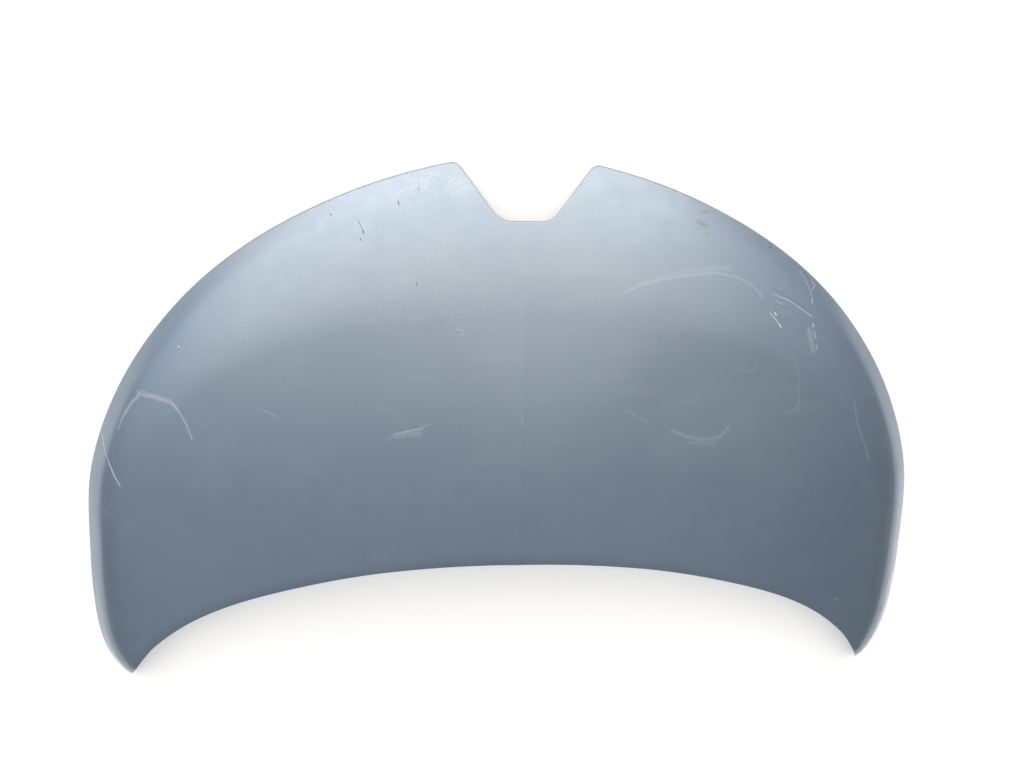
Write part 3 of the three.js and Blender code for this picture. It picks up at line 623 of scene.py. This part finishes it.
# Marks in the paint, zone by zone: what it is, the pixels of the picture that it runs through, its width in
# millimetres and its strength
MARKS = {
    "left_side": [
        ("scratch", [(101.5, 432), (104.5, 450), (109, 463), (113.5, 475), (120, 486)], 1.7, 1.0),
        ("rub_and_reflection", [(109, 463), (120, 486)], 4.5, 0.4),
        ("scratch", [(99, 501), (111, 517)], 1.2, 0.5),
        ("rub_and_reflection", [(117.5, 430), (123, 416), (132, 402)], 4.5, 0.5),
        ("rub_and_reflection", [(125, 413), (132, 402), (140, 393)], 8, 0.45),
        ("rub_and_reflection", [(138, 393), (152, 397), (171, 402), (178, 411)], 9, 0.45),
        ("rub_and_reflection", [(171, 401), (179, 412), (187, 426), (192, 439)], 4.5, 0.6),
        ("scratch", [(140, 389.5), (152, 394.5), (171, 399.5)], 1.6, 0.45),
        ("scratch", [(178, 346.5), (179, 347)], 3.0, 1.0),
        ("scratch", [(182, 348.5), (182.5, 349)], 1.8, 0.8),
        ("rub_and_reflection", [(259, 409), (267, 412), (278, 417)], 3.5, 0.3),
        ("chip", [(273, 474), (274.5, 474)], 1.6, 0.5),
    ],
    "left_nose": [
        ("hatch", [(400, 188), (430, 180), (462, 186)], 70, 0.22),
        ("hatch", [(372, 200), (420, 204)], 44, 0.12),
        ("chip", [(330, 214), (331, 215)], 2.6, 0.8),
        ("chip", [(398, 201), (399, 205)], 2.4, 0.7),
        ("chip", [(418, 188), (419, 190)], 2.2, 0.6),
        ("chip", [(358, 221), (361, 226), (363.5, 232)], 1.4, 0.8),
        ("chip", [(363, 231), (363.5, 233)], 2.8, 0.9),
        ("chip", [(360.5, 239), (361, 240)], 2.6, 0.9),
        ("chip", [(416.5, 282), (417, 286)], 2.0, 0.8),
        ("chip", [(432, 315), (432.5, 317)], 1.8, 0.5),
        ("chip", [(441, 321), (441.5, 323)], 1.8, 0.5),
        ("scratch", [(457, 329), (464, 331)], 1.6, 0.6),
        ("scratch", [(459, 335), (464, 334.5)], 1.4, 0.6),
    ],
    "middle": [
        ("rub_and_reflection", [(386, 441), (390, 438), (398, 434)], 4, 0.28),
        ("rub_and_reflection", [(394, 435), (408, 431), (422, 428)], 4.5, 0.48),
        ("rub_and_reflection", [(418, 429), (430, 424)], 3, 0.36),
        ("rub_and_reflection", [(396, 437), (420, 433)], 12, 0.20),
        ("rub_and_reflection", [(522, 417), (522.5, 424)], 3.0, 0.28),
    ],
    "right_nose": [
        ("stain", [(700, 214), (705, 211), (710, 213)], 3.5, 0.6),
        ("stain", [(699, 222), (706, 226)], 13, 0.4),
        ("chip", [(698, 228), (699, 229)], 2.2, 0.6),
        ("chip", [(706.5, 233), (707.5, 234)], 2.2, 0.7),
        ("chip", [(770, 243), (771.5, 247), (768, 248)], 2.2, 0.7),
        ("chip", [(804, 272), (809, 279), (813, 284)], 1.6, 0.7),
        ("scratch", [(811, 280), (815, 286), (812, 289)], 1.3, 0.9),
        ("scratch", [(800, 271), (807, 283), (813, 298)], 1.3, 0.6),
        ("scratch", [(812, 299), (812.5, 303)], 2.6, 0.8),
        ("scratch", [(813, 324), (813.5, 327)], 2.6, 0.9),
        ("scratch", [(814, 331), (816, 338)], 2.2, 0.8),
        ("scratch", [(816.5, 345), (817, 349)], 1.8, 0.7),
        ("scratch", [(766, 291), (790, 301), (813, 317)], 1.4, 0.8),
        ("chip", [(765, 284), (788, 297), (811, 313)], 1.0, 0.6),
        ("scratch", [(759, 293), (770, 297), (784, 305)], 1.2, 0.6),
        ("chip", [(772, 303), (785, 307), (799, 314)], 1.0, 0.5),
        ("chip", [(799, 314), (790, 318), (781, 320), (773, 304)], 1.2, 0.5),
        ("scratch", [(770, 313), (776, 320), (780, 326)], 1.8, 0.8),
        ("scratch", [(775, 313), (776.5, 315)], 3.4, 0.9),
        ("scratch", [(780, 325), (781, 327)], 3.2, 0.9),
        ("rub_and_reflection", [(809, 330), (813, 350)], 16, 0.25),
    ],
    # Pale arcs round the dent on the right half: painted reflections, drawn with the rub look, not worn paint
    "right_dent": [
        ("rub_and_reflection", [(626, 292), (640, 285), (662, 279), (690, 275), (715, 272.5)], 6, 0.20),
        ("rub_and_reflection", [(640, 284), (690, 270), (730, 268)], 13, 0.11),
        ("rub_and_reflection", [(715, 272.5), (735, 276), (752, 285), (763, 297)], 5, 0.21),
        ("rub_and_reflection", [(627, 410), (634, 415), (648, 423)], 6, 0.15),
        ("rub_and_reflection", [(672, 431), (686, 437), (702, 440), (720, 437), (729, 427)], 9, 0.21),
        ("rub_and_reflection", [(690, 443), (716, 443)], 14, 0.12),
        ("rub_and_reflection", [(740, 368), (748, 372), (756, 369), (757, 361)], 4, 0.15),
        ("rub_and_reflection", [(794, 356), (798, 372), (799, 402)], 4, 0.17),
        ("rub_and_reflection", [(799, 403), (795, 411), (789, 411)], 4.5, 0.25),
    ],
    "right_side": [
        ("rub_and_reflection", [(854, 400), (858, 425), (866, 449), (869, 461)], 2.6, 0.42),
        ("rub_and_reflection", [(834, 598), (838, 599.5)], 3.6, 0.5),
    ],
}

# How far round a mark, in metres, the skin's faces take the paint that carries it
MARK_MARGIN = 0.016


class Nodes:
    """Short names for adding nodes to a material."""

    def __init__(self, tree):
        self.tree = tree
        tree.nodes.clear()

    def add(self, kind, **values):
        node = self.tree.nodes.new("ShaderNode" + kind)
        for name, value in values.items():
            setattr(node, name, value)
        return node

    def put(self, node, name, value):
        socket = node.inputs[name]
        if isinstance(value, bpy.types.NodeSocket):
            self.tree.links.new(value, socket)
        else:
            socket.default_value = value

    def math(self, operation, *values, clamp=False):
        node = self.add("Math", operation=operation, use_clamp=clamp)
        for k, value in enumerate(values):
            self.put(node, k, value)
        return node.outputs[0]

    def vector(self, operation, *values):
        node = self.add("VectorMath", operation=operation)
        for k, value in enumerate(values):
            self.put(node, k, value)
        gives_number = operation in ("DOT_PRODUCT", "DISTANCE")
        return node.outputs["Value"] if gives_number else node.outputs[0]

    def noise(self, scale, detail=3, roughness=0.5, stretch=(1, 1, 1)):
        where = self.add("TexCoord").outputs["Object"]
        if stretch != (1, 1, 1):
            where = self.vector("MULTIPLY", where, stretch)
        node = self.add("TexNoise")
        self.put(node, "Vector", where)
        self.put(node, "Scale", scale)
        self.put(node, "Detail", detail)
        self.put(node, "Roughness", roughness)
        return node.outputs["Fac"]

    def mix(self, share, a, b):
        node = self.add("Mix")
        for k, value in enumerate((share, a, b)):
            self.put(node, (0, 2, 3)[k], value)
        return node.outputs[0]

    def ramp(self, value, low, high, to_low=0.0, to_high=1.0):
        node = self.add("MapRange", interpolation_type="SMOOTHSTEP")
        for name, number in (("Value", value), ("From Min", low), ("From Max", high), ("To Min", to_low),
                             ("To Max", to_high)):
            self.put(node, name, number)
        return node.outputs[0]

    def blend(self, share, a, b, mode="MIX"):
        node = self.add("Mix", data_type="RGBA", blend_type=mode)
        self.put(node, 0, share)
        self.put(node, 6, a)
        self.put(node, 7, b)
        return node.outputs[2]

    def bump(self, height, distance, strength=1.0):
        node = self.add("Bump")
        self.put(node, "Height", height)
        self.put(node, "Distance", distance)
        self.put(node, "Strength", strength)
        return node.outputs[0]

    def finish(self, **values):
        """The closing shader, with its sockets set by name."""
        shader = self.add("BsdfPrincipled")
        for name, value in values.items():
            self.put(shader, name.replace("_", " "), value)
        self.tree.links.new(shader.outputs[0], self.add("OutputMaterial").inputs[0])


def new_material(name):
    material = bpy.data.materials.new(name)
    material.use_nodes = True
    return material, Nodes(material.node_tree)


def srgb(red, green, blue):
    """A colour written in 0 to 255 as the linear colour that a shader takes."""
    def linear(value):
        value /= 255
        return value / 12.92 if value <= 0.04045 else ((value + 0.055) / 1.055) ** 2.4
    return (linear(red), linear(green), linear(blue), 1)


def make_stroke_group():
    """A node group: how much a point lies on the stroke from A to B, by distance in plan."""
    tree = bpy.data.node_groups.new("stroke", "ShaderNodeTree")
    for name, kind in (("Point", "Vector"), ("A", "Vector"), ("B", "Vector"), ("Half Width", "Float"),
                       ("Strength", "Float")):
        tree.interface.new_socket(name, in_out="INPUT", socket_type="NodeSocket" + kind)
    tree.interface.new_socket("Cover", in_out="OUTPUT", socket_type="NodeSocketFloat")
    nodes = Nodes(tree)
    given = tree.nodes.new("NodeGroupInput").outputs
    along = nodes.vector("SUBTRACT", given["B"], given["A"])
    from_a = nodes.vector("SUBTRACT", given["Point"], given["A"])
    squared = nodes.math("MAXIMUM", nodes.vector("DOT_PRODUCT", along, along), 1e-9)
    share = nodes.math("DIVIDE", nodes.vector("DOT_PRODUCT", from_a, along), squared, clamp=True)
    scaled = nodes.add("VectorMath", operation="SCALE")
    nodes.put(scaled, 0, along)
    nodes.put(scaled, "Scale", share)
    away = nodes.vector("DISTANCE", from_a, scaled.outputs[0])
    relative = nodes.math("DIVIDE", away, given["Half Width"])
    cover = nodes.math("MULTIPLY", nodes.ramp(relative, 1, 0), given["Strength"])
    tree.links.new(cover, tree.nodes.new("NodeGroupOutput").inputs[0])
    return tree


def strokes(nodes, group, marks, kind, warp):
    """The cover of all marks of a kind, with their edges broken by a warped position."""
    where = nodes.add("TexCoord").outputs["Object"]
    flat = nodes.vector("MULTIPLY", nodes.vector("ADD", where, warp_by(nodes, *warp)), (1, 1, 0))
    total = None
    for a, b, half_width, strength in [leg for mark in marks if mark[0] == kind for leg in legs(mark)]:
        node = nodes.add("Group", node_tree=group)
        nodes.put(node, "Point", flat)
        nodes.put(node, "A", (*a, 0))
        nodes.put(node, "B", (*b, 0))
        nodes.put(node, "Half Width", half_width)
        nodes.put(node, "Strength", strength)
        total = node.outputs[0] if total is None else nodes.math("MAXIMUM", total, node.outputs[0])
    return total


def legs(mark):
    """The straight legs of a mark, in the plan: two ends, half the width and the strength of each."""
    _, pixels, width, strength = mark
    points = [tuple(on_panel(pixel))[:2] for pixel in pixels]
    return [(a, b, width / 2 * MM, strength) for a, b in zip(points, points[1:])]


def warp_by(nodes, scale, amount):
    """A small shift of the position, made by noise."""
    node = nodes.add("TexNoise")
    nodes.put(node, "Vector", nodes.add("TexCoord").outputs["Object"])
    nodes.put(node, "Scale", scale)
    nodes.put(node, "Detail", 4)
    shifted = nodes.vector("SUBTRACT", node.outputs["Color"], (0.5, 0.5, 0.5))
    return nodes.vector("MULTIPLY", shifted, (amount, amount, 0))


PAINT = srgb(138, 153, 168)
PAINT_DEEP = srgb(132, 147, 163)
SCRATCH_TONE = srgb(222, 226, 228)
PAINT_METAL = 0.74
PAINT_ROUGHNESS = (0.36, 0.42)
EDGE_TINT = (0.5, 0.57, 0.64, 1)
COAT_WEIGHT = (0.95, 0.75)
COAT_ROUGHNESS = 0.08
COAT_IOR = 1.35
FLAKE_SHARE = 0.14
WIPE_SHARE = 0.035
WIPE_STRETCH = (1, 6, 1)
PEEL_HEIGHT = 0.00006

# Marks by kind: warp of their edges (noise scale, metres), colour, metal, roughness and clear coat
MARK_LOOKS = {
    # The rub look: worn paint in most zones, and painted reflection arcs in the zone round the right dent
    "rub_and_reflection": ((60, 0.003), srgb(196, 205, 212), 0.5, 0.5, 0.5),
    "hatch": ((30, 0.020), srgb(216, 220, 222), 0.3, 0.6, 0.3),
    "stain": ((160, 0.006), srgb(128, 140, 122), 0.1, 0.7, 0.1),
    "scratch": ((140, 0.0012), SCRATCH_TONE, 0.1, 0.6, 0.05),
    "chip": ((300, 0.0012), srgb(70, 76, 82), 0.0, 0.7, 0.0),
}
HATCH_TURN = (0, 0, math.radians(-50))
HATCH_STRETCH = (1, 7, 1)
FINE_BREAK_SCALE = 420


def hatching(nodes):
    """Fine short strokes that all run one way."""
    turned = nodes.add("Mapping", vector_type="TEXTURE")
    nodes.put(turned, "Vector", nodes.add("TexCoord").outputs["Object"])
    nodes.put(turned, "Rotation", HATCH_TURN)
    nodes.put(turned, "Scale", HATCH_STRETCH)
    fine = nodes.add("TexNoise")
    nodes.put(fine, "Vector", turned.outputs[0])
    nodes.put(fine, "Scale", FINE_BREAK_SCALE)
    return nodes.ramp(fine.outputs["Fac"], 0.52, 0.66)


def body_paint(name, stroke_group=None, marks=()):
    """Metallic paint under a worn clear coat, with fine flake and haze, and the marks of one zone."""
    material, nodes = new_material(name)
    cloud = nodes.noise(scale=4)
    haze = nodes.noise(scale=38, detail=4, roughness=0.6)
    flake = nodes.noise(scale=2600, detail=1)
    wiped = nodes.noise(scale=9, detail=4, roughness=0.6, stretch=WIPE_STRETCH)
    colour = nodes.blend(nodes.ramp(cloud, 0.3, 0.7), PAINT_DEEP, PAINT)
    colour = nodes.blend(nodes.ramp(flake, 0.4, 0.72, 0, FLAKE_SHARE), colour, SCRATCH_TONE)
    colour = nodes.blend(nodes.ramp(wiped, 0.5, 0.8, 0, WIPE_SHARE), colour, SCRATCH_TONE)
    metal = PAINT_METAL
    rough = nodes.ramp(haze, 0.3, 0.75, *PAINT_ROUGHNESS)
    coat = nodes.ramp(haze, 0.3, 0.75, *COAT_WEIGHT)
    normal = nodes.bump(nodes.noise(scale=190, detail=2), PEEL_HEIGHT, 0.5)
    for kind, (warp, tone, kind_metal, kind_rough, kind_coat) in MARK_LOOKS.items():
        if not any(mark[0] == kind for mark in marks):
            continue
        cover = strokes(nodes, stroke_group, marks, kind, warp)
        if kind == "scratch":
            breaks = nodes.noise(scale=FINE_BREAK_SCALE, detail=2)
            cover = nodes.math("MULTIPLY", cover, nodes.ramp(breaks, 0.3, 0.45))
        if kind == "hatch":
            cover = nodes.math("MULTIPLY", cover, hatching(nodes))
        colour = nodes.blend(cover, colour, tone)
        metal = nodes.mix(cover, metal, kind_metal)
        rough = nodes.mix(cover, rough, kind_rough)
        coat = nodes.mix(cover, coat, kind_coat)
    nodes.finish(Base_Color=colour, Metallic=metal, Roughness=rough, Specular_Tint=EDGE_TINT,
                 Coat_Weight=coat, Coat_Roughness=COAT_ROUGHNESS, Coat_IOR=COAT_IOR, Normal=normal)
    return material


def paint_skin(skin):
    """The plain paint all over, and on the faces near each zone's marks the paint that carries them."""
    stroke_group = make_stroke_group()
    skin.data.materials.append(body_paint("body_paint"))
    centres = np.array([face.center for face in skin.data.polygons])[:, :2]
    slots = np.zeros(len(centres), int)
    for k, (zone, marks) in enumerate(MARKS.items()):
        skin.data.materials.append(body_paint("body_paint_" + zone, stroke_group, marks))
        for start, end, half_width, _ in [leg for mark in marks for leg in legs(mark)]:
            a, b = np.array(start), np.array(end)
            share = np.clip((centres - a) @ (b - a) / max((b - a) @ (b - a), 1e-9), 0, 1)
            away = np.linalg.norm(centres - a - share[:, None] * (b - a), axis=1)
            slots[away < MARK_MARGIN + half_width] = k + 1
    skin.data.polygons.foreach_set("material_index", slots.tolist())


DUST_TONE = srgb(150, 146, 138)
DUST_SHARE = 0.35
ZINC_LIGHT = srgb(196, 196, 190)
ZINC_DULL = srgb(160, 158, 146)
SPANGLE_SCALE = 420


def dull_paint(name, light, dark, roughness):
    """A thin dull coat with overspray clouds, dust and small runs."""
    material, nodes = new_material(name)
    cloud = nodes.noise(scale=9, detail=5, roughness=0.6)
    dust = nodes.noise(scale=300, roughness=0.7)
    grain = nodes.noise(scale=1400, detail=2)
    runs = nodes.noise(scale=24, detail=4)
    colour = nodes.blend(nodes.ramp(cloud, 0.3, 0.7), dark, light)
    colour = nodes.blend(nodes.ramp(dust, 0.5, 0.8, 0, DUST_SHARE), colour, DUST_TONE)
    rough = nodes.ramp(runs, 0.3, 0.7, roughness - 0.08, roughness + 0.08)
    nodes.finish(Base_Color=colour, Metallic=0.25, Roughness=rough, Normal=nodes.bump(grain, 0.0001, 0.5))
    return material


def zinc():
    """Satin zinc plating with a faint spangle and dull patches."""
    material, nodes = new_material("zinc")
    spangle = nodes.add("TexVoronoi")
    nodes.put(spangle, "Vector", nodes.add("TexCoord").outputs["Object"])
    nodes.put(spangle, "Scale", SPANGLE_SCALE)
    patches = nodes.ramp(nodes.noise(scale=90, detail=4), 0.3, 0.7)
    colour = nodes.blend(nodes.math("MULTIPLY", patches, 0.7), ZINC_LIGHT, ZINC_DULL)
    rough = nodes.ramp(spangle.outputs["Distance"], 0, 0.6, 0.32, 0.46)
    normal = nodes.bump(nodes.noise(scale=900, detail=2), 0.00005)
    nodes.finish(Base_Color=colour, Metallic=0.9, Roughness=rough, Normal=normal)
    return material


def moulded(name, light, dark, roughness, grain_scale):
    """Moulded rubber or plastic with a fine grain and a dusty bloom."""
    material, nodes = new_material(name)
    bloom = nodes.ramp(nodes.noise(scale=60, detail=5, roughness=0.6), 0.4, 0.75)
    colour = nodes.blend(bloom, dark, light)
    rough = nodes.ramp(nodes.noise(scale=120), 0.3, 0.7, roughness - 0.07, roughness + 0.07)
    normal = nodes.bump(nodes.noise(scale=grain_scale, detail=2), 0.0001, 0.6)
    nodes.finish(Base_Color=colour, Roughness=rough, Normal=normal)
    return material


def set_material(obj, material):
    obj.data.materials.clear()
    obj.data.materials.append(material)


def dress_solids(solids):
    """Materials for the solids that stay as they are, by what each is made of."""
    steel = dull_paint("plate_steel", srgb(122, 128, 134), srgb(92, 98, 104), 0.55)
    plating = zinc()
    rubber = moulded("rubber", srgb(58, 58, 58), srgb(32, 32, 33), 0.75, 800)
    plastic = moulded("plastic", srgb(52, 53, 55), srgb(34, 35, 37), 0.45, 1500)
    mastic = moulded("mastic", srgb(176, 170, 156), srgb(150, 144, 130), 0.7, 500)
    by_name = [("reinforcement", steel), ("striker", plating), ("nut", plating), ("buffer", rubber),
               ("socket", plastic), ("mastic", mastic)]
    for obj in solids:
        for word, material in by_name:
            if word in obj.name:
                set_material(obj, material)


# Studio: a plain white floor under a soft dome that is brightest beyond the nose, and one wide soft lamp.
# A shade sets in over the turn that follows it, given as parts of the direction's length along one axis.
FLOOR_SIZE = 40
FLOOR_TONE = 0.78
FLOOR_GLOW = 0.3
DOME_REAR = (0.27, 0.32, 0.37, 1)
DOME_FRONT = (2.5, 2.28, 2.04, 1)
DOME_TURN = (-0.38, 0.78)
LEFT_SHADE = (0.5, 0.62, 0.8, 1)
LEFT_TURN = (-0.6, -0.98)
RIGHT_SHADE = (0.3, 0.37, 0.46, 1)
RIGHT_TURN = (0.3, 0.95)
LOW_SHADE = (0.42, 0.43, 0.45, 1)
LOW_TURN = (0.5, 0.15)
LEFT_GAIN = 1.2
GAIN_TURN = (0.1, -0.6)
LAMP_SIZE = (6, 1.6)
LAMP_PLACE = Vector((0, 3.4, 2.4))
LAMP_AIM = Vector((0, 0.1, 0.1))
LAMP_POWER = 30


def seen_directly(nodes, camera_only=False):
    """1 for what the camera sees, and unless camera_only also for what gloss or glass shows."""
    path = nodes.add("LightPath").outputs
    seen = path["Is Camera Ray"]
    for kind in () if camera_only else ("Is Glossy Ray", "Is Transmission Ray"):
        seen = nodes.math("MAXIMUM", seen, path[kind])
    return seen


def add_floor():
    half = FLOOR_SIZE / 2
    mesh = bpy.data.meshes.new("floor")
    corners = [(-half, -half, 0), (half, -half, 0), (half, half, 0), (-half, half, 0)]
    mesh.from_pydata(corners, [], [(0, 1, 2, 3)])
    floor = bpy.data.objects.new("floor", mesh)
    bpy.context.scene.collection.objects.link(floor)
    material, nodes = new_material("floor")
    glow = nodes.math("MULTIPLY", seen_directly(nodes), FLOOR_GLOW)
    nodes.finish(Base_Color=(FLOOR_TONE, FLOOR_TONE, FLOOR_TONE, 1), Roughness=1.0, Specular_IOR_Level=0.0,
                 Emission_Color=(1, 1, 1, 1), Emission_Strength=glow)
    set_material(floor, material)


def add_dome():
    world = bpy.data.worlds.new("dome")
    bpy.context.scene.world = world
    world.use_nodes = True
    nodes = Nodes(world.node_tree)
    split = nodes.add("SeparateXYZ")
    nodes.put(split, 0, nodes.add("TexCoord").outputs["Generated"])
    sideways = split.outputs["X"]
    colour = nodes.blend(nodes.ramp(split.outputs["Y"], *DOME_TURN), DOME_REAR, DOME_FRONT)
    colour = nodes.blend(nodes.ramp(sideways, *LEFT_TURN), colour, LEFT_SHADE, "MULTIPLY")
    colour = nodes.blend(nodes.ramp(sideways, *RIGHT_TURN), colour, RIGHT_SHADE, "MULTIPLY")
    colour = nodes.blend(nodes.ramp(split.outputs["Z"], *LOW_TURN), colour, LOW_SHADE, "MULTIPLY")
    sky = nodes.add("Background")
    nodes.put(sky, "Color", colour)
    nodes.put(sky, "Strength", nodes.ramp(sideways, *GAIN_TURN, 1, LEFT_GAIN))
    backdrop = nodes.add("Background")
    nodes.put(backdrop, "Color", (1, 1, 1, 1))
    choose = nodes.add("MixShader")
    nodes.put(choose, 0, seen_directly(nodes, camera_only=True))
    nodes.put(choose, 1, sky.outputs[0])
    nodes.put(choose, 2, backdrop.outputs[0])
    world.node_tree.links.new(choose.outputs[0], nodes.add("OutputWorld").inputs[0])


def add_lamp():
    light = bpy.data.lights.new("lamp", "AREA")
    light.shape = "RECTANGLE"
    light.size, light.size_y = LAMP_SIZE
    light.energy = LAMP_POWER
    lamp = bpy.data.objects.new("lamp", light)
    lamp.location = LAMP_PLACE
    lamp.rotation_euler = (LAMP_PLACE - LAMP_AIM).to_track_quat("Z", "Y").to_euler()
    bpy.context.scene.collection.objects.link(lamp)


solids = [obj for obj in bpy.data.objects if obj.type == "MESH"]
skin = make_skin()
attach(skin, "root")
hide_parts("outer_skin")
frame_sheet = make_frame()
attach(frame_sheet, "root")
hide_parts("inner_frame")
paint_skin(skin)
set_material(frame_sheet, dull_paint("frame_paint", srgb(142, 152, 162), srgb(122, 132, 144), 0.5))
dress_solids(solids)
add_camera()
add_floor()
add_dome()
add_lamp()

bpy.context.scene.view_settings.view_transform = "Standard"
